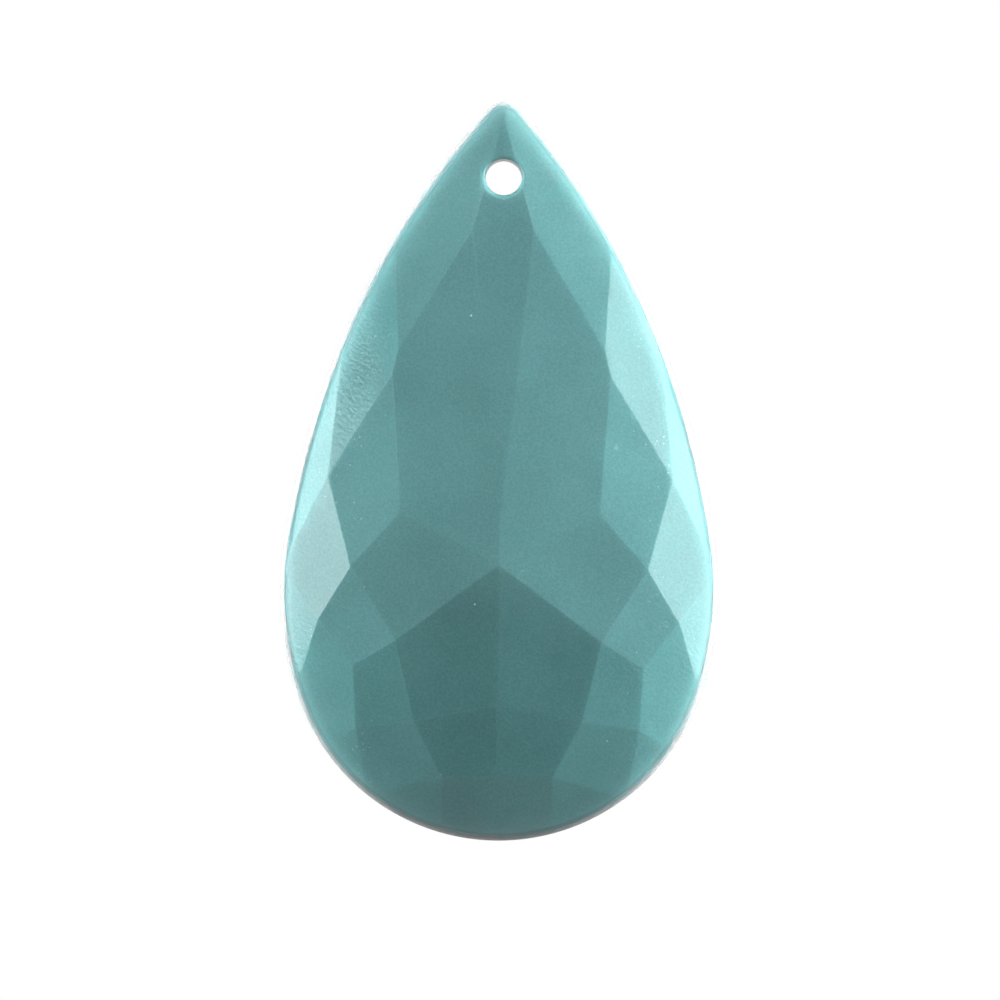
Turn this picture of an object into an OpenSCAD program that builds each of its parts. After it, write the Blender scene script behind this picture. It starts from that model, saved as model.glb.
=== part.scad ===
// Faceted drop: one moulded solid, pear shaped, cut-stone facets on both faces, a hang hole near the tip.
// Millimetres. The drop hangs: X runs across, Z up along its length, and the front face looks along -Y.
// The origin is the centre of the hang hole.
// The two faces are mirror images. Each one is a crown of flat facets standing on a thin rounded rim.

/* [Outline] */
// Radius of the two long flanks
flank_r = 58; // [57:0.5:59]
// Radius of the two bellies, where the drop is widest
belly_r = 22; // [21.8:0.1:22.4]
// Radius of the foot
foot_r = 14.5; // [14.3:0.1:14.7]
// How far the centre of the foot lies below the hole
foot_drop = 31; // [30.8:0.1:31.2]
// Radius of the tip
tip_r = 1.5; // [1:0.1:2]

/* [Facets] */
// Height of the star, the highest point of a face, above the edge of the facets
crown_h = 3.5; // [2.5:0.1:4.5]
// Height of the edge of the facets above the middle plane
base_h = 1; // [0.9:0.05:1.5]

/* [Rim] */
// Thickness of the rim that the two mould halves leave at the middle plane, rounded all the way
rim_t = 0.5; // [0.4:0.1:0.8]
// Width of the rim outside the wall under the facets
rim_w = 0.3; // [0.25:0.05:0.5]

/* [Hang hole] */
// Diameter of the hole
hole_d = 2.5; // [1.5:0.1:3]
// Depth of the lead-in at each mouth
hole_lead = 0.2; // [0.05:0.05:0.4]

/* [Hidden] */
$fn = 96;
turquoise = [0.37, 0.68, 0.68];
block = 60; // half the side of a cutting block, longer than the drop

// The outline is four tangent arcs on each side: foot, belly, flank and tip. Neighbouring arcs meet in these
// directions, on the line through both their centres.
foot_turn = -21;
belly_turn = 8;
foot_c = [0, -foot_drop];
belly_c = foot_c - (belly_r - foot_r) * [cos(foot_turn), sin(foot_turn)];
flank_c = belly_c - (flank_r - belly_r) * [cos(belly_turn), sin(belly_turn)];
tip_c = [0, flank_c.y + sqrt(pow(flank_r - tip_r, 2) - pow(flank_c.x, 2))];
tip_turn = atan2(tip_c.y - flank_c.y, tip_c.x - flank_c.x);

// Each arc is [centre, radius, first direction, last direction, number of straight steps].
arcs = [
    [foot_c, foot_r, -90, foot_turn, 20],
    [belly_c, belly_r, foot_turn, belly_turn, 10],
    [flank_c, flank_r, belly_turn, tip_turn, 16],
    [tip_c, tip_r, tip_turn, 90, 6],
];

// A point on an arc, and all the points of the right side from the foot up to the tip, at an inset.
function on_arc(arc, inset, turn) = arc[0] + (arc[1] - inset) * [cos(turn), sin(turn)];
function right_side(inset) = [
    for (arc = arcs)
        for (i = [0 : arc[4] - 1])
            on_arc(arc, inset, arc[2] + i * (arc[3] - arc[2]) / arc[4]),
    [0, tip_c.y + tip_r - inset],
];

// Corners of the facets: millimetres across and up from the hole. A third number is the corner's height
// above the edge of the facets, in hundredths of crown_h. The other corners take the height of the facet
// they are seated on. The drop is symmetric, so only its right half is listed.
kite_top = [0, 4.05];
kite_side = [2.1, -3.6, 29];
kite_foot = [0, -23.8];
star = [0, -26.5, 100];
star_high = [6.8, -23];
star_low = [7.05, -31.7, 68];
star_side = [10.15, -26.75];
shoulder = [7.05, -11.85, 38];
flank = [11.8, -20.55, 27];
hip = [12.35, -30.35, 30];
step_mid = [0, -36.05, 65.5];
step_side = [5.75, -37.2];
step_end = [9.7, -37.75, 23.5];
foot_mid = [0, -40.95, 40];
foot_side = [3.8, -41];

// Where the edges between the outer facets run out at the rim, from the tip down.
rim_shoulder = [7.4, -5.4];
rim_flank = [11, -12.4];
rim_belly = [14.4, -25.75];
rim_hip = [14.25, -27.75];
rim_step = [13.6, -34.4, -4];
rim_low = [11.1, -38.6];
rim_foot = [9, -41.65];
rim_foot_side = [7.95, -42.2];
rim_foot_end = [3.85, -44.25, 0];
rim_foot_mid = [0, -45.1, 0];

// A corner with a chosen height, as a point in space.
function raise(p) = [p.x, p.y, base_h + crown_h * p.z / 100];

// A facet plane through three points: [rise per mm across, rise per mm up, height at the hole].
function through(p, q, r) =
    let (n = cross(q - p, r - p))
    [-n.x / n.z, -n.y / n.z, p.z + (n.x * p.x + n.y * p.y) / n.z];

// A corner seated on a facet.
function seat(f, p) = [p.x, p.y, f[0] * p.x + f[1] * p.y + f[2]];

// The same point or plane on the left half.
function mirrored(p) = [-p.x, p.y, p.z];

// The facets, each one placed by three corners, so that every corner is shared without a gap.
shield = through(raise(star), raise(kite_side), raise(shoulder));
kite = through(seat(shield, kite_foot), raise(kite_side), mirrored(raise(kite_side)));
shoulder_facet = through(raise(kite_side), raise(shoulder), seat(kite, kite_top));
star_kite = through(raise(star), seat(shield, star_high), raise(star_low));
flank_kite = through(seat(shield, star_high), seat(star_kite, star_side), raise(flank));
upper_flank = through(raise(shoulder), seat(shoulder_facet, rim_shoulder), raise(flank));
belly_facet = through(raise(flank), seat(star_kite, star_side), raise(hip));
belly_wedge = through(raise(flank), seat(upper_flank, rim_flank), seat(belly_facet, rim_belly));
hip_kite = through(seat(star_kite, star_side), raise(star_low), raise(hip));
lower_shield = through(raise(star), raise(star_low), raise(step_mid));
lower_kite = through(raise(star_low), seat(lower_shield, step_side), raise(step_end));
hip_facet = through(raise(hip), raise(step_end), raise(rim_step));
hip_wedge = through(raise(hip), seat(belly_facet, rim_hip), raise(rim_step));
step = through(raise(step_mid), seat(lower_shield, step_side), raise(foot_mid));
step_outer = through(seat(lower_shield, step_side), raise(step_end), seat(step, foot_side));
step_wedge = through(raise(step_end), seat(hip_facet, rim_low), seat(step_outer, rim_foot));
foot = through(raise(foot_mid), seat(step, foot_side), raise(rim_foot_mid));
foot_wedge = through(seat(step, foot_side), raise(rim_foot_mid), raise(rim_foot_end));
foot_outer = through(seat(step, foot_side), raise(rim_foot_end), seat(step_outer, rim_foot_side));

right_facets = [
    shield, shoulder_facet, star_kite, flank_kite, upper_flank, belly_facet, belly_wedge, hip_kite, lower_shield,
    lower_kite, hip_facet, hip_wedge, step, step_outer, step_wedge, foot, foot_wedge, foot_outer,
];
facets = concat([kite], right_facets, [for (f = right_facets) mirrored(f)]);

// Everything below a facet plane.
module under(f)
{
    translate([0, 0, f[2]])
        rotate([0, 0, atan2(-f[1], -f[0])])
            rotate([0, atan(norm([f[0], f[1]])), 0])
                translate([-block, -block, -2 * block])
                    cube(2 * block);
}

// The pear outline, drawn this far inside the edge of the drop.
module outline(inset)
{
    side = right_side(inset);
    polygon(concat(side, [for (i = [len(side) - 2 : -1 : 1]) [-side[i].x, side[i].y]]));
}

// The thin plate that shows as the rim round the facets.
module rim()
{
    hull()
        for (turn = [15 : 25 : 90])
            linear_extrude(rim_t * sin(turn), center = true)
                outline(rim_t / 2 * (1 - cos(turn)));
}

// The two faceted faces, back to back.
module crowns()
{
    intersection() {
        linear_extrude(2 * (base_h + crown_h), center = true)
            outline(rim_w);
        intersection_for (f = facets) under(f);
        mirror([0, 0, 1])
            intersection_for (f = facets) under(f);
    }
}

// The bore with a lead-in at each mouth, which starts below the kite facet that the hole goes through.
module hang_hole()
{
    lead_from = kite[2] - hole_lead;
    cylinder(h = 2 * (base_h + crown_h), d = hole_d, center = true);
    for (side = [0, 1])
        mirror([0, 0, side])
            translate([0, 0, lead_from])
                cylinder(h = 1, d1 = hole_d, d2 = hole_d + 2);
}

module faceted_drop()
{
    color(turquoise)
        rotate([90, 0, 0])
            difference() {
                union() {
                    rim();
                    crowns();
                }
                hang_hole();
            }
}

faceted_drop();
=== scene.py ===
import math

import bmesh
import bpy
import numpy as np
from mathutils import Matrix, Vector, noise
from mathutils.geometry import delaunay_2d_cdt


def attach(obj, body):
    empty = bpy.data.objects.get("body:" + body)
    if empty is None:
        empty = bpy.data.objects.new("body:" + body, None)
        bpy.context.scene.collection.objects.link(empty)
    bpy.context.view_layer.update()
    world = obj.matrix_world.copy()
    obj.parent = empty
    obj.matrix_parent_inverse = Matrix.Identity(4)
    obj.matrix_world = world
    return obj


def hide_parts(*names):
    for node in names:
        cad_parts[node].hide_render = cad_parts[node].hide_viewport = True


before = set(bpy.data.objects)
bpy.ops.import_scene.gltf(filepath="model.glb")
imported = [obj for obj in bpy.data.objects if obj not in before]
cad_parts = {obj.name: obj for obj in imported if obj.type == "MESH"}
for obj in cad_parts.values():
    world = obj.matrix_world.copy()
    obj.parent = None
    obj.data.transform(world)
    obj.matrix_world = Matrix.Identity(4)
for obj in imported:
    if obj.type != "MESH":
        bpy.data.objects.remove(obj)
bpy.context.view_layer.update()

NODE = "faceted_drop"

# The drop is drawn flat, in millimetres: across, up from the hang hole, and out towards the front. MM turns
# that into metres.
MM = 0.001

# Outline: the radii of the foot, belly, flank and tip arcs of each side, how far the centre of the foot lies
# below the hole, and the directions in which the foot meets the belly and the belly meets the flank.
FOOT_R = 14.5
BELLY_R = 22.0
FLANK_R = 58.0
TIP_R = 1.5
FOOT_DROP = 31.0
FOOT_TURN = math.radians(-21)
BELLY_TURN = math.radians(8)

# Rim: half its thickness at the wall and at its outer edge, and how far that edge is rounded inwards.
RIM_R = 0.24
RIM_EDGE = 0.20
EDGE_R = 0.04

# The wall that the facets stand on: how far it lies inside the outline, the groove at its foot, and the
# rounded crest where it meets the facets.
WALL_INSET = 0.3
GROOVE_R = 0.05
CREST_R = 0.12

# The faces roll off towards the rim: how far they drop at the wall, how quickly that fades inwards, and the
# rows of points that carry it.
ROLL_DROP = 0.17
ROLL_REACH = 0.5
ROLL_ROWS = (0.75, 0.95, 1.25, 1.65)

# Hang hole: the bore and its rounded mouth.
HOLE_R = 1.25
MOUTH_R = 0.3

# Each face is one sheet of triangles, which stops short of the crest and of the mouth.
SHEET_INSET = WALL_INSET + CREST_R + 0.2
HOLE_SHEET_R = HOLE_R + MOUTH_R + 0.05

# Half the width of the softened edges between facets, and the rows of points along each of them.
EDGE_SOFT = 0.07
EDGE_ROWS = (-1.1, -0.5, 0.0, 0.5, 1.1)

# Spacing of the points: along the edges, along the roll-off, along the rim, and on the flat of the facets.
EDGE_STEP = 0.22
ROLL_STEP = 0.35
RIM_STEP = 0.3
FACE_STEP = 0.55
# Points round the hole, how far the other points keep off the sheet's borders, and how close any two may lie.
HOLE_STEPS = 48
SHEET_MARGIN = 0.06
CLOSEST = 0.02

# Unevenness of the moulded faces: each layer's height, its waves per millimetre, and how far apart the two
# faces lie in its noise.
SWELLS = ((0.006, 0.16, 7.0), (0.002, 0.5, 3.0))

# Colours: the clouded body, the dust and the paler stretches of the facet edges, the pits, and the painted
# shade that darkens and greys the rim.
BODY_DEEP = (0.073, 0.188, 0.192, 1)
BODY_PALE = (0.082, 0.210, 0.214, 1)
SPECK_PALE = (0.35, 0.5, 0.5, 1)
PIT_DARK = (0.03, 0.09, 0.09, 1)
# Painted shade: the darker, greyer colour given to the rim band.
RIM_PAINTED_SHADE = (0.050, 0.118, 0.121, 1)
FLOOR_PALE = (0.9, 0.9, 0.9, 1)

# How much of their colour the dust, the paler edge stretches and the rim's painted shade show.
DUST_SHARE = 0.8
EDGE_PALE_SHARE = 0.08
RIM_SHADE_SHARE = 0.75

# Roughness of the plastic, from its glossiest to its dullest parts, and what scratches and dust add to it.
GLOSSIEST = 0.08
DULLEST = 0.12
SCRATCH_ROUGH = 0.25
DUST_ROUGH = 0.3

# Fine relief: one step of it in millimetres, and how many steps each kind of mark is high or deep.
RELIEF_STEP = 0.004
RIPPLE_HIGH = 4.5
GRAIN_HIGH = 0.25
SCRATCH_DEEP = 1.5
PIT_DEEP = 3.0

# Light in the plastic: how far it scatters, in millimetres, the shares of that for red, green and blue, and
# the refractive index.
SCATTER_REACH = 2.8
SCATTER_SHARES = (1.5, 1.0, 1.0)
REFRACTION = 1.58

# Studio, in metres. Each side has a soft box that shows in the shine, and a wash that grazes the facets.
SIDE_FAR = 0.40
BOX_Y = -0.24
BOX_LENGTH = 0.52
WASH_Y = -0.01
WASH_Z = 0.19
WASH_SIZE = (0.18, 0.34)
# Name, side, top and foot of the soft box, its radiance, and the radiance of the wash.
SIDES = (
    ("right", 1, 0.20, -0.13, 3.9, 88.0),
    ("left", -1, 0.148, -0.11, 4.5, 57.0),
)
# Name, place, facing, size, radiance, and whether the panel also lights the drop rather than only its shine.
WEAK_PANELS = (
    ("front_shine", (0, -0.6, 0.2), (0, 1, 0), (1.0, 0.8), 0.36, False),
    ("overhead", (0, 0, 1.5), (0, 0, -1), (1.5, 1.5), 0.5, True),
    ("backdrop", (0, 0.6, 0), (0, -1, 0), (1.2, 1.2), 0.5, True),
)
# How strongly the white surroundings light the drop.
SURROUNDINGS = 0.03
# The floor: its height, and half its width.
FLOOR_Z = -0.8
FLOOR_HALF = 3.0

# Camera, in metres: straight in front, nearly level with the middle of the drop.
CAMERA_FAR = 0.32
CAMERA_Z = -0.0221
VIEW_WIDTH = 0.0687
SENSOR_MM = 36
CAMERA_ROLL = math.radians(-0.66)


def direction(turn):
    return np.array([math.cos(turn), math.sin(turn)])


def turns(first, last, steps):
    """Even steps of direction from the first to the last, given in degrees."""
    return np.radians(np.linspace(first, last, steps + 1))


def outline_arcs():
    """The tangent arcs of the right side, from the foot up: centre, radius, first and last direction."""
    foot_c = np.array([0.0, -FOOT_DROP])
    belly_c = foot_c - (BELLY_R - FOOT_R) * direction(FOOT_TURN)
    flank_c = belly_c - (FLANK_R - BELLY_R) * direction(BELLY_TURN)
    rise = math.sqrt((FLANK_R - TIP_R) ** 2 - flank_c[0] ** 2)
    tip_c = np.array([0.0, flank_c[1] + rise])
    tip_turn = math.atan2(rise, -flank_c[0])
    return [
        (foot_c, FOOT_R, -math.pi / 2, FOOT_TURN),
        (belly_c, BELLY_R, FOOT_TURN, BELLY_TURN),
        (flank_c, FLANK_R, BELLY_TURN, tip_turn),
        (tip_c, TIP_R, tip_turn, math.pi / 2),
    ]


ARCS = outline_arcs()


def inset_of(points):
    """How far inside the outline each point lies, and the direction from it straight out to the outline."""
    across = np.abs(points[:, 0])
    up = points[:, 1]
    slack = 1e-9
    least = 1e-6
    unset = -1.0
    inset = np.full(len(points), unset)
    out = np.zeros((len(points), 2))
    for centre, radius, first, last in ARCS:
        dx = across - centre[0]
        dy = up - centre[1]
        turn = np.arctan2(dy, dx)
        here = (turn >= first - slack) & (turn <= last + slack) & (inset == unset)
        far = np.hypot(dx, dy)
        inset[here] = radius - far[here]
        out[here] = np.stack([dx, dy], 1)[here] / np.maximum(far[here], least)[:, None]
    out[:, 0] *= np.where(points[:, 0] < 0, -1, 1)
    return inset, out


def outline_points(inset, spacing):
    """Points round the whole outline at an inset, counter-clockwise from the foot."""
    side = []
    for centre, radius, first, last in ARCS:
        steps = max(4, round((radius - inset) * (last - first) / spacing))
        steady = [first + (last - first) * i / steps for i in range(steps)]
        side += [centre + (radius - inset) * direction(turn) for turn in steady]
    top = ARCS[-1][0] + np.array([0.0, TIP_R - inset])
    left = [p * [-1, 1] for p in side[:0:-1]]
    return np.array(side + [top] + left)


def facet_planes():
    """The facet planes of the CAD drop's front: [rise across, rise upwards, height at the hole]."""
    steepest = -0.7
    flattest = -0.9999
    least_area = 1.2 * MM * MM
    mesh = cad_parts[NODE].data
    area_of = {}
    for polygon in mesh.polygons:
        n = polygon.normal
        if n.y > steepest or n.y < flattest:
            continue
        c = polygon.center / MM
        rise_x, rise_y = n.x / n.y, n.z / n.y
        key = (round(rise_x, 3), round(rise_y, 3))
        area, total = area_of.get(key, (0.0, np.zeros(3)))
        plane = np.array([rise_x, rise_y, -c.y - rise_x * c.x - rise_y * c.z])
        area_of[key] = (area + polygon.area, total + polygon.area * plane)
    return np.array([total / area for area, total in area_of.values() if area > least_area])


PLANES = facet_planes()


def plane_heights(points):
    """The height of every facet plane over every point."""
    return points @ PLANES[:, :2].T + PLANES[:, 2]


def ridge_closeness(points):
    """1 on an edge between two facets, falling to 0 at the end of its softness."""
    heights = plane_heights(points)
    rows = np.arange(len(points))
    lowest, second = np.argsort(heights, 1)[:, :2].T
    gap = heights[rows, second] - heights[rows, lowest]
    steep = np.hypot(*(PLANES[second, :2] - PLANES[lowest, :2]).T)
    return np.clip(1 - gap / (steep * EDGE_SOFT), 0, 1)


def disc_offsets():
    """An even spread of offsets over a small disc."""
    rings = 4
    offsets = [np.zeros(2)]
    for ring in range(1, rings + 1):
        offsets += [ring / rings * direction(2 * math.pi * i / (6 * ring) + ring) for i in range(6 * ring)]
    return np.array(offsets) * EDGE_SOFT


OFFSETS = disc_offsets()


def swell(points, face):
    """The slight unevenness that moulding leaves, a few thousandths of a millimetre."""
    return np.array([
        sum(size * noise.noise(Vector((x * waves, y * waves, apart * face))) for size, waves, apart in SWELLS)
        for x, y in points
    ])


def height(points, face):
    """Height of a face: its facets, averaged over a small disc to soften their edges, and its roll-off."""
    total = np.zeros(len(points))
    for offset in OFFSETS:
        total += plane_heights(points + offset).min(1)
    inset, _ = inset_of(points)
    roll_off = ROLL_DROP * np.exp((WALL_INSET - inset) / ROLL_REACH)
    return total / len(OFFSETS) + swell(points, face) - roll_off


def slopes(points, face):
    """How much a face rises per millimetre, across and upwards."""
    step = 0.01
    return [
        (height(points + np.array(d) * step, face) - height(points - np.array(d) * step, face)) / (2 * step)
        for d in ((1, 0), (0, 1))
    ]


def shared_edge(i, j):
    """The stretch of line on which two facet planes are the lowest of all, or None if there is none."""
    reach = 60.0
    tiny = 1e-9
    slack = 1e-4
    shortest = 0.3
    gap = PLANES[i] - PLANES[j]
    steep = np.hypot(gap[0], gap[1])
    if steep < slack:
        return None
    foot = -gap[2] * gap[:2] / steep**2
    along = np.array([-gap[1], gap[0]]) / steep
    low, high = -reach, reach
    for k in range(len(PLANES)):
        if k in (i, j):
            continue
        rest = PLANES[k] - PLANES[i]
        at_foot = rest[:2] @ foot + rest[2] + slack
        rise = rest[:2] @ along
        if abs(rise) < tiny:
            if at_foot < 0:
                high = low
        elif rise > 0:
            low = max(low, -at_foot / rise)
        else:
            high = min(high, -at_foot / rise)
    if high - low <= shortest:
        return None
    return foot + low * along, foot + high * along


def facet_edges():
    """Every edge between two facets, as a pair of end points."""
    pairs = [(i, j) for i in range(len(PLANES)) for j in range(i + 1, len(PLANES))]
    edges = [shared_edge(i, j) for i, j in pairs]
    return [edge for edge in edges if edge is not None]


def points_along(edges):
    """Rows of points on both sides of every edge."""
    rows = []
    for start, end in edges:
        length = np.hypot(*(end - start))
        along = (end - start) / length
        side = np.array([-along[1], along[0]])
        count = max(2, round(length / EDGE_STEP))
        t = (np.arange(count) + 0.5) / count * length
        rows += [start + t[:, None] * along + offset * EDGE_SOFT * side for offset in EDGE_ROWS]
    return rows


def points_between(edges):
    """A triangular grid over the whole outline, kept clear of the edges."""
    row_ratio = 0.866
    far = 9.0
    around = outline_points(0, 1.0)
    low, high = around.min(0), around.max(0)
    grid = []
    for row, up in enumerate(np.arange(low[1], high[1], FACE_STEP * row_ratio)):
        across = np.arange(low[0], high[0], FACE_STEP) + (row % 2) * FACE_STEP / 2
        grid.append(np.stack([across, np.full(len(across), up)], 1))
    grid = np.concatenate(grid)
    near = np.full(len(grid), far)
    for start, end in edges:
        span = end - start
        t = np.clip((grid - start) @ span / (span @ span), 0, 1)
        near = np.minimum(near, np.hypot(*(grid - start - t[:, None] * span).T))
    return grid[near > 3 * EDGE_SOFT]


def on_sheet(points, margin):
    inset, _ = inset_of(points)
    return (inset > SHEET_INSET + margin) & (np.hypot(points[:, 0], points[:, 1]) > HOLE_SHEET_R + margin)


def sheet_points():
    """Points of one face: close rows along every edge and the roll-off, and an even spread between them."""
    edges = facet_edges()
    rows = points_along(edges) + [outline_points(inset, ROLL_STEP) for inset in ROLL_ROWS]
    points = np.concatenate(rows + [points_between(edges)])
    points = points[on_sheet(points, SHEET_MARGIN)]
    cell = np.round(points / CLOSEST).astype(int)
    _, first = np.unique(cell, axis=0, return_index=True)
    return points[np.sort(first)]


def closed_loop(points, start):
    return [(start + i, start + (i + 1) % len(points)) for i in range(len(points))]


def face_sheet():
    """One face, flat: points, triangles, and the rings of points at the rim and round the hole."""
    rim = outline_points(SHEET_INSET, RIM_STEP)
    hole = np.array([HOLE_SHEET_R * direction(-2 * math.pi * i / HOLE_STEPS) for i in range(HOLE_STEPS)])
    points = np.concatenate([rim, hole, sheet_points()])
    edges = closed_loop(rim, 0) + closed_loop(hole, len(rim))
    inside_only = 1
    same_place = 1e-5
    made = delaunay_2d_cdt([Vector(p) for p in points], edges, [], inside_only, same_place, True)
    made_verts, _, made_faces, verts_from, _, _ = made
    verts = np.array([(v.x, v.y) for v in made_verts])
    came_from = {old: new for new, olds in enumerate(verts_from) for old in olds}
    triangles = [f for f in made_faces if np.hypot(*verts[list(f)].mean(0)) > HOLE_SHEET_R]
    rim_ring = [came_from[i] for i in range(len(rim))]
    hole_ring = [came_from[len(rim) + i] for i in range(HOLE_STEPS)]
    return verts, triangles, rim_ring, hole_ring


def rim_rows(points, face):
    """Rows from the edge of the sheet over the crest, down the wall and round the rim to mid plane."""
    before_crest = 0.06
    inset, out = inset_of(points)
    rows = []

    def row(row_inset, z=None, drop=0.0):
        place = points + (inset - row_inset)[:, None] * out
        if z is None:
            z = height(place, face) - drop
        rows.append(np.column_stack([place, np.broadcast_to(z, len(points))]))

    row(WALL_INSET + CREST_R + before_crest)
    for turn in turns(0, 80, 5):
        row(WALL_INSET + CREST_R * (1 - math.sin(turn)), drop=CREST_R * (1 - math.cos(turn)))
    row(WALL_INSET, RIM_R + GROOVE_R)
    for turn in turns(20, 60, 2):
        row(WALL_INSET - GROOVE_R * (1 - math.cos(turn)), RIM_R + GROOVE_R * (1 - math.sin(turn)))
    for turn in turns(0, 90, 4):
        row(EDGE_R * (1 - math.sin(turn)), RIM_EDGE * math.cos(turn))
    return rows


def hole_rows(points, face):
    """Rows of points from the sheet over the rounded mouth and down the bore to the middle plane."""
    out = points / np.hypot(points[:, 0], points[:, 1])[:, None]
    rows = []
    for turn in turns(0, 90, 6):
        place = (HOLE_R + MOUTH_R * (1 - math.sin(turn))) * out
        rows.append(np.column_stack([place, height(place, face) - MOUTH_R * (1 - math.cos(turn))]))
    mouth_foot = rows[-1][:, 2]
    for share in (0.66, 0.33, 0.0):
        rows.append(np.column_stack([HOLE_R * out, mouth_foot * share]))
    return rows


def half_shell(sheet, face):
    """One face with its half of the rim and of the bore: points, faces and the sheet points' normals."""
    flat, triangles, rim_ring, hole_ring = sheet
    slope_x, slope_y = slopes(flat, face)
    normals = np.column_stack([-slope_x, -slope_y, np.ones(len(flat))])
    points = [np.column_stack([flat, height(flat, face)])]
    faces = [tuple(t) for t in triangles]
    total = len(flat)
    for make_rows, loop in ((rim_rows, rim_ring), (hole_rows, hole_ring)):
        count = len(loop)
        before = list(loop)
        for row in make_rows(flat[loop], face):
            now = list(range(total, total + count))
            points.append(row)
            total += count
            for i in range(count):
                j = (i + 1) % count
                faces.append((before[j], before[i], now[i], now[j]))
            before = now
    return np.concatenate(points), faces, normals


def whole_shell():
    """Both faces back to back, in metres: points, faces, and the normals of the sheets' points by number."""
    front, back = (1, 1), (2, -1)
    sheet = face_sheet()
    verts, faces, sheet_normals = [], [], {}
    for face, sign in (front, back):
        points, shell, normals = half_shell(sheet, face)
        start = len(verts)
        verts += [(x * MM, -sign * z * MM, y * MM) for x, y, z in points]
        faces += [tuple(start + i for i in (f if sign > 0 else f[::-1])) for f in shell]
        for i, (nx, ny, nz) in enumerate(normals):
            sheet_normals[start + i] = Vector((nx, -sign * nz, ny)).normalized()
    return verts, faces, sheet_normals


def close_and_shade(mesh, sheet_normals):
    """Joins the two halves at the middle plane, and gives the sheets the exact normals of their faces."""
    same_place = 1e-7
    bm = bmesh.new()
    bm.from_mesh(mesh)
    mark = bm.verts.layers.float_vector.new("sheet_normal")
    bm.verts.ensure_lookup_table()
    for i, n in sheet_normals.items():
        bm.verts[i][mark] = n
    bmesh.ops.remove_doubles(bm, verts=bm.verts, dist=same_place)
    for f in bm.faces:
        f.smooth = True
    bm.normal_update()
    bm.to_mesh(mesh)
    normals = [v[mark] if v[mark].length > 0.5 else v.normal for v in bm.verts]
    mesh.normals_split_custom_set_from_vertices([tuple(n) for n in normals])
    bm.free()


def mark_ridges_and_rim(mesh):
    """Stores for the material where the edges between the facets lie, and where the rim band lies, which gets
    painted shade.
    """
    places = np.array([v.co for v in mesh.vertices]) / MM
    flat = places[:, [0, 2]]
    inset, _ = inset_of(flat)
    stored = {
        "ridge": ridge_closeness(flat) * (inset > SHEET_INSET),
        "rim": np.clip((SHEET_INSET - inset) / CREST_R, 0, 1),
    }
    for name, share in stored.items():
        mesh.attributes.new(name, "FLOAT", "POINT").data.foreach_set("value", share.astype(np.float32))


def build_drop():
    verts, faces, sheet_normals = whole_shell()
    mesh = bpy.data.meshes.new("drop")
    mesh.from_pydata(verts, [], faces)
    mesh.validate()
    close_and_shade(mesh, sheet_normals)
    mark_ridges_and_rim(mesh)
    drop = bpy.data.objects.new("moulded_drop", mesh)
    bpy.context.collection.objects.link(drop)
    return drop


def node(tree, kind, inputs=None, **settings):
    """A shader node, with its settings, and its inputs set to a value or joined to another node's output."""
    made = tree.nodes.new("ShaderNode" + kind)
    for name, value in settings.items():
        setattr(made, name, value)
    for name, value in (inputs or {}).items():
        if isinstance(value, bpy.types.NodeSocket):
            tree.links.new(value, made.inputs[name])
        else:
            made.inputs[name].default_value = value
    return made


def maths(tree, operation, *values):
    return node(tree, "Math", dict(enumerate(values)), operation=operation).outputs[0]


def times(tree, first, second):
    return maths(tree, "MULTIPLY", first, second)


def plus(tree, first, second):
    return maths(tree, "ADD", first, second)


def ramp(tree, value, low, high, bottom=0.0, top=1.0):
    """Maps a value smoothly from low..high to bottom..top."""
    limits = {"Value": value, "From Min": low, "From Max": high, "To Min": bottom, "To Max": top}
    return node(tree, "MapRange", limits, interpolation_type="SMOOTHSTEP").outputs["Result"]


def mixed(tree, share, first, second, clamped=True):
    """A colour between two others. The Mix node keeps its colours in sockets of their own."""
    share_socket, first_socket, second_socket, result_socket = 0, 6, 7, 2
    inputs = {share_socket: share, first_socket: first, second_socket: second}
    return node(tree, "Mix", inputs, data_type="RGBA", clamp_factor=clamped).outputs[result_socket]


def noise_at(tree, place, scale, detail=2.0, distortion=0.0):
    """Smooth noise with so many waves per millimetre."""
    pattern = {"Vector": place, "Scale": scale, "Detail": detail, "Distortion": distortion}
    return node(tree, "TexNoise", pattern).outputs["Fac"]


def marked(tree, name):
    """How much of a kind of wear the mesh has at a point."""
    return node(tree, "Attribute", attribute_name=name).outputs["Fac"]


def millimetres(tree):
    """Where a point lies on the drop, in millimetres."""
    place = node(tree, "TexCoord").outputs["Object"]
    return node(tree, "VectorMath", {0: place, "Scale": 1 / MM}, operation="SCALE").outputs[0]


def moved(tree, place, across, deep, up):
    """Another part of the same pattern, so that two patterns don't fall on each other."""
    return node(tree, "VectorMath", {0: place, 1: (across, deep, up)}).outputs[0]


def near_flanks(tree, place):
    """1 on the flanks, and low in the middle of the drop."""
    across = node(tree, "SeparateXYZ", {0: place}).outputs[0]
    return ramp(tree, maths(tree, "ABSOLUTE", across), 6.0, 11.0, 0.15, 1.0)


def mould_ripple(tree, place):
    """Fine ripples that slant down to the right, as the plastic flowed."""
    slanted = {"Vector": place, "Rotation": (0.0, math.radians(30), 0.0), "Scale": (2.5, 1.0, 1.0)}
    turned = node(tree, "Mapping", slanted, vector_type="TEXTURE").outputs[0]
    return noise_at(tree, turned, 4.6)


def hair_lines(tree, place):
    """Short, fine, curved scratches, from handling."""
    lines = noise_at(tree, place, 0.55, detail=1.0, distortion=1.2)
    on_line = ramp(tree, maths(tree, "ABSOLUTE", maths(tree, "SUBTRACT", lines, 0.5)), 0.0, 0.004, 1.0, 0.0)
    where = ramp(tree, noise_at(tree, place, 0.9, detail=0.0), 0.60, 0.64)
    return times(tree, on_line, where)


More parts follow.
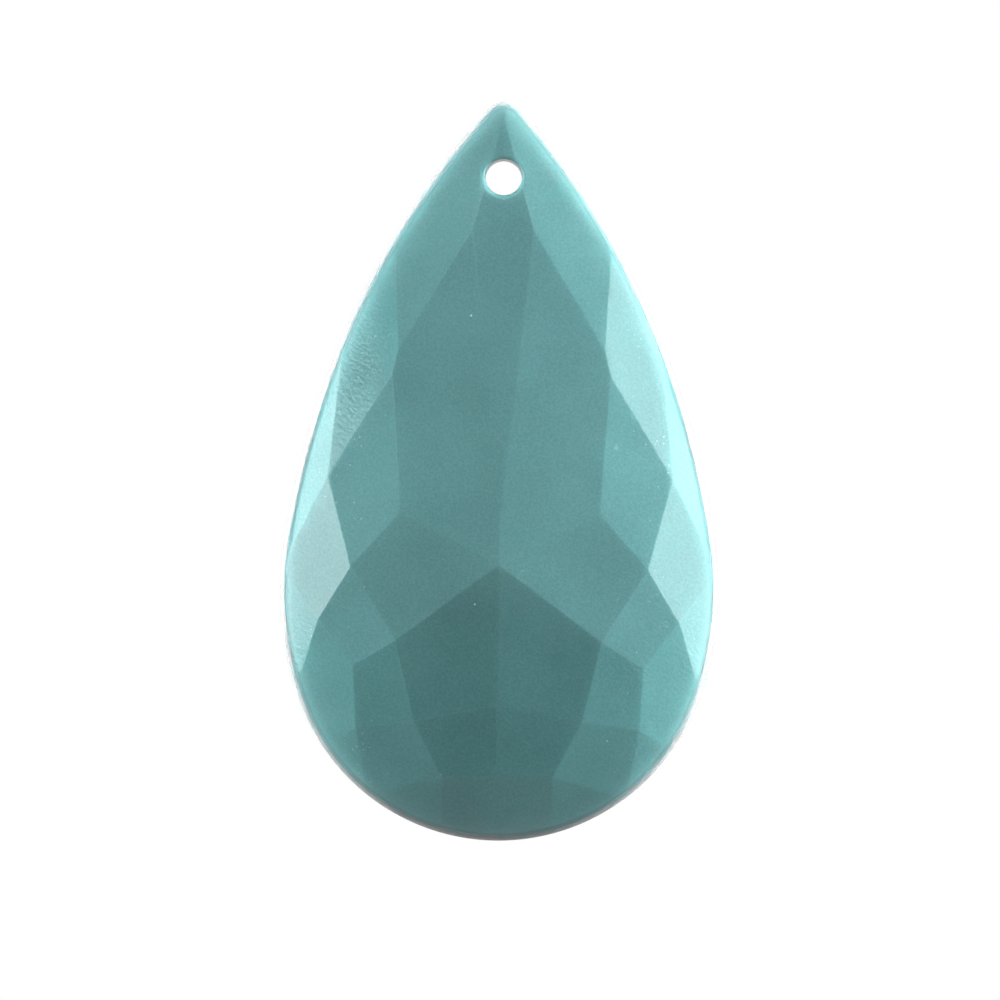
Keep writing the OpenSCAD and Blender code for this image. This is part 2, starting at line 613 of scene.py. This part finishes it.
def specks(tree, place, spacing, radius, share):
    """Small round spots, a share of the cells of a random pattern having one."""
    cells = node(tree, "TexVoronoi", {"Vector": place, "Scale": 1 / spacing})
    edge = radius / spacing
    spot = ramp(tree, cells.outputs["Distance"], 0.6 * edge, edge, 1.0, 0.0)
    pick = node(tree, "SeparateColor", {"Color": cells.outputs["Color"]}).outputs[0]
    return times(tree, spot, maths(tree, "LESS_THAN", pick, share))


def white_dust(tree, place, flanks):
    """A few larger specks all over, and patches of fine ones on the flanks."""
    coarse = specks(tree, place, spacing=3.1, radius=0.09, share=0.5)
    fine = specks(tree, moved(tree, place, 5.0, 3.0, 2.0), spacing=0.42, radius=0.045, share=0.6)
    patches = ramp(tree, noise_at(tree, place, 0.17, detail=1.0), 0.46, 0.6, 0.05, 1.0)
    return plus(tree, coarse, times(tree, fine, times(tree, patches, flanks)))


def paler_edge_stretches(tree, place):
    """The stretches of the edges between facets that are made paler in colour."""
    stretches = ramp(tree, noise_at(tree, place, 0.09, detail=1.0), 0.45, 0.65)
    return times(tree, marked(tree, "ridge"), stretches)


def turquoise_plastic():
    """Opaque, slightly waxy plastic with clouds, grain, ripple, dust, pits, scratches, paler edge stretches,
    and painted shade on the rim.
    """
    material = bpy.data.materials.new("turquoise_plastic")
    material.use_nodes = True
    tree = material.node_tree
    shader = tree.nodes["Principled BSDF"].inputs
    place = millimetres(tree)
    flanks = near_flanks(tree, place)

    cloud = noise_at(tree, place, 0.16, detail=3.0)
    grain = noise_at(tree, place, 6.0, detail=1.0)
    ripple = times(tree, mould_ripple(tree, place), flanks)
    scratches = hair_lines(tree, place)
    dust = white_dust(tree, place, flanks)
    pits = specks(tree, moved(tree, place, 17.0, 5.0, 9.0), spacing=2.6, radius=0.065, share=0.35)
    paler_edges = paler_edge_stretches(tree, place)

    tone = plus(tree, ramp(tree, cloud, 0.3, 0.7), ramp(tree, grain, 0.25, 0.75, -0.7, 0.7))
    body = mixed(tree, tone, BODY_DEEP, BODY_PALE, clamped=False)
    # Paler colour in stretches along the edges between facets, beside the dust specks.
    pale = maths(tree, "MAXIMUM", times(tree, dust, DUST_SHARE), times(tree, paler_edges, EDGE_PALE_SHARE))
    dusted = mixed(tree, pale, body, SPECK_PALE)
    pitted = mixed(tree, pits, dusted, PIT_DARK)
    # Painted shade: the rim band's colour is darkened and greyed.
    rim_shaded = mixed(tree, times(tree, marked(tree, "rim"), RIM_SHADE_SHARE), pitted, RIM_PAINTED_SHADE)
    tree.links.new(rim_shaded, shader["Base Color"])

    wear = plus(tree, times(tree, scratches, SCRATCH_ROUGH), times(tree, dust, DUST_ROUGH))
    gloss = ramp(tree, cloud, 0.3, 0.7, GLOSSIEST, DULLEST)
    tree.links.new(plus(tree, gloss, wear), shader["Roughness"])

    relief = plus(tree, times(tree, ripple, RIPPLE_HIGH), times(tree, grain, GRAIN_HIGH))
    marks = plus(tree, times(tree, scratches, SCRATCH_DEEP), times(tree, pits, PIT_DEEP))
    surface = maths(tree, "SUBTRACT", relief, marks)
    bump = node(tree, "Bump", {"Height": surface, "Strength": 1.0, "Distance": RELIEF_STEP * MM})
    tree.links.new(bump.outputs[0], shader["Normal"])

    shader["IOR"].default_value = REFRACTION
    shader["Subsurface Weight"].default_value = 1.0
    shader["Subsurface Radius"].default_value = SCATTER_SHARES
    shader["Subsurface Scale"].default_value = SCATTER_REACH * MM
    return material


def soft_box(name, place, facing, size, radiance, glossy=True, diffuse=True):
    """A lit panel that the camera doesn't see, and that can be left out of the shine or show only in it."""
    light = bpy.data.lights.new(name, "AREA")
    light.shape = "RECTANGLE"
    light.size, light.size_y = size
    light.energy = math.pi * size[0] * size[1] * radiance
    lamp = bpy.data.objects.new(name, light)
    lamp.location = place
    lamp.rotation_euler = (-Vector(facing)).to_track_quat("Z", "Y").to_euler()
    lamp.visible_camera = False
    lamp.visible_glossy = glossy
    lamp.visible_diffuse = diffuse
    bpy.context.collection.objects.link(lamp)


def light_studio():
    """A soft box and a grazing wash on each side, and the weak panels in front, above and behind."""
    for name, side, box_top, box_foot, box_radiance, wash_radiance in SIDES:
        inwards = (-side, 0, 0)
        box_size = (BOX_LENGTH, box_top - box_foot)
        box_place = (side * SIDE_FAR, BOX_Y, (box_top + box_foot) / 2)
        soft_box(name + "_box", box_place, inwards, box_size, box_radiance)
        wash_place = (side * SIDE_FAR, WASH_Y, WASH_Z)
        soft_box(name + "_wash", wash_place, inwards, WASH_SIZE, wash_radiance, glossy=False)
    for name, place, facing, size, radiance, diffuse in WEAK_PANELS:
        soft_box(name, place, facing, size, radiance, diffuse=diffuse)


def white_surroundings():
    """A white studio: the background shows white, and lights the drop only softly."""
    world = bpy.data.worlds.new("studio")
    world.use_nodes = True
    tree = world.node_tree
    seen = node(tree, "LightPath").outputs["Is Camera Ray"]
    light = tree.nodes["Background"].inputs
    light["Color"].default_value = (1, 1, 1, 1)
    tree.links.new(ramp(tree, seen, 0.0, 1.0, SURROUNDINGS, 1.0), light["Strength"])
    bpy.context.scene.world = world


def pale_floor():
    mesh = bpy.data.meshes.new("floor")
    corners = [(x * FLOOR_HALF, y * FLOOR_HALF, FLOOR_Z) for x, y in ((-1, -1), (1, -1), (1, 1), (-1, 1))]
    mesh.from_pydata(corners, [], [(0, 1, 2, 3)])
    material = bpy.data.materials.new("pale_floor")
    material.use_nodes = True
    material.node_tree.nodes["Principled BSDF"].inputs["Base Color"].default_value = FLOOR_PALE
    mesh.materials.append(material)
    floor = bpy.data.objects.new("floor", mesh)
    bpy.context.collection.objects.link(floor)
    return floor


def add_camera():
    lens = bpy.data.cameras.new("camera")
    lens.sensor_width = SENSOR_MM
    lens.lens = SENSOR_MM * CAMERA_FAR / VIEW_WIDTH
    lens.clip_start = 0.01
    lens.clip_end = 10
    camera = bpy.data.objects.new("camera", lens)
    camera.location = (0, -CAMERA_FAR, CAMERA_Z)
    camera.rotation_euler = (math.pi / 2, CAMERA_ROLL, 0)
    bpy.context.collection.objects.link(camera)
    bpy.context.scene.camera = camera


def main():
    drop = build_drop()
    drop.data.materials.append(turquoise_plastic())
    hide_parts(NODE)
    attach(drop, "root")
    floor = pale_floor()
    light_studio()
    white_surroundings()
    bpy.context.scene.view_settings.view_transform = "Standard"
    add_camera()


main()
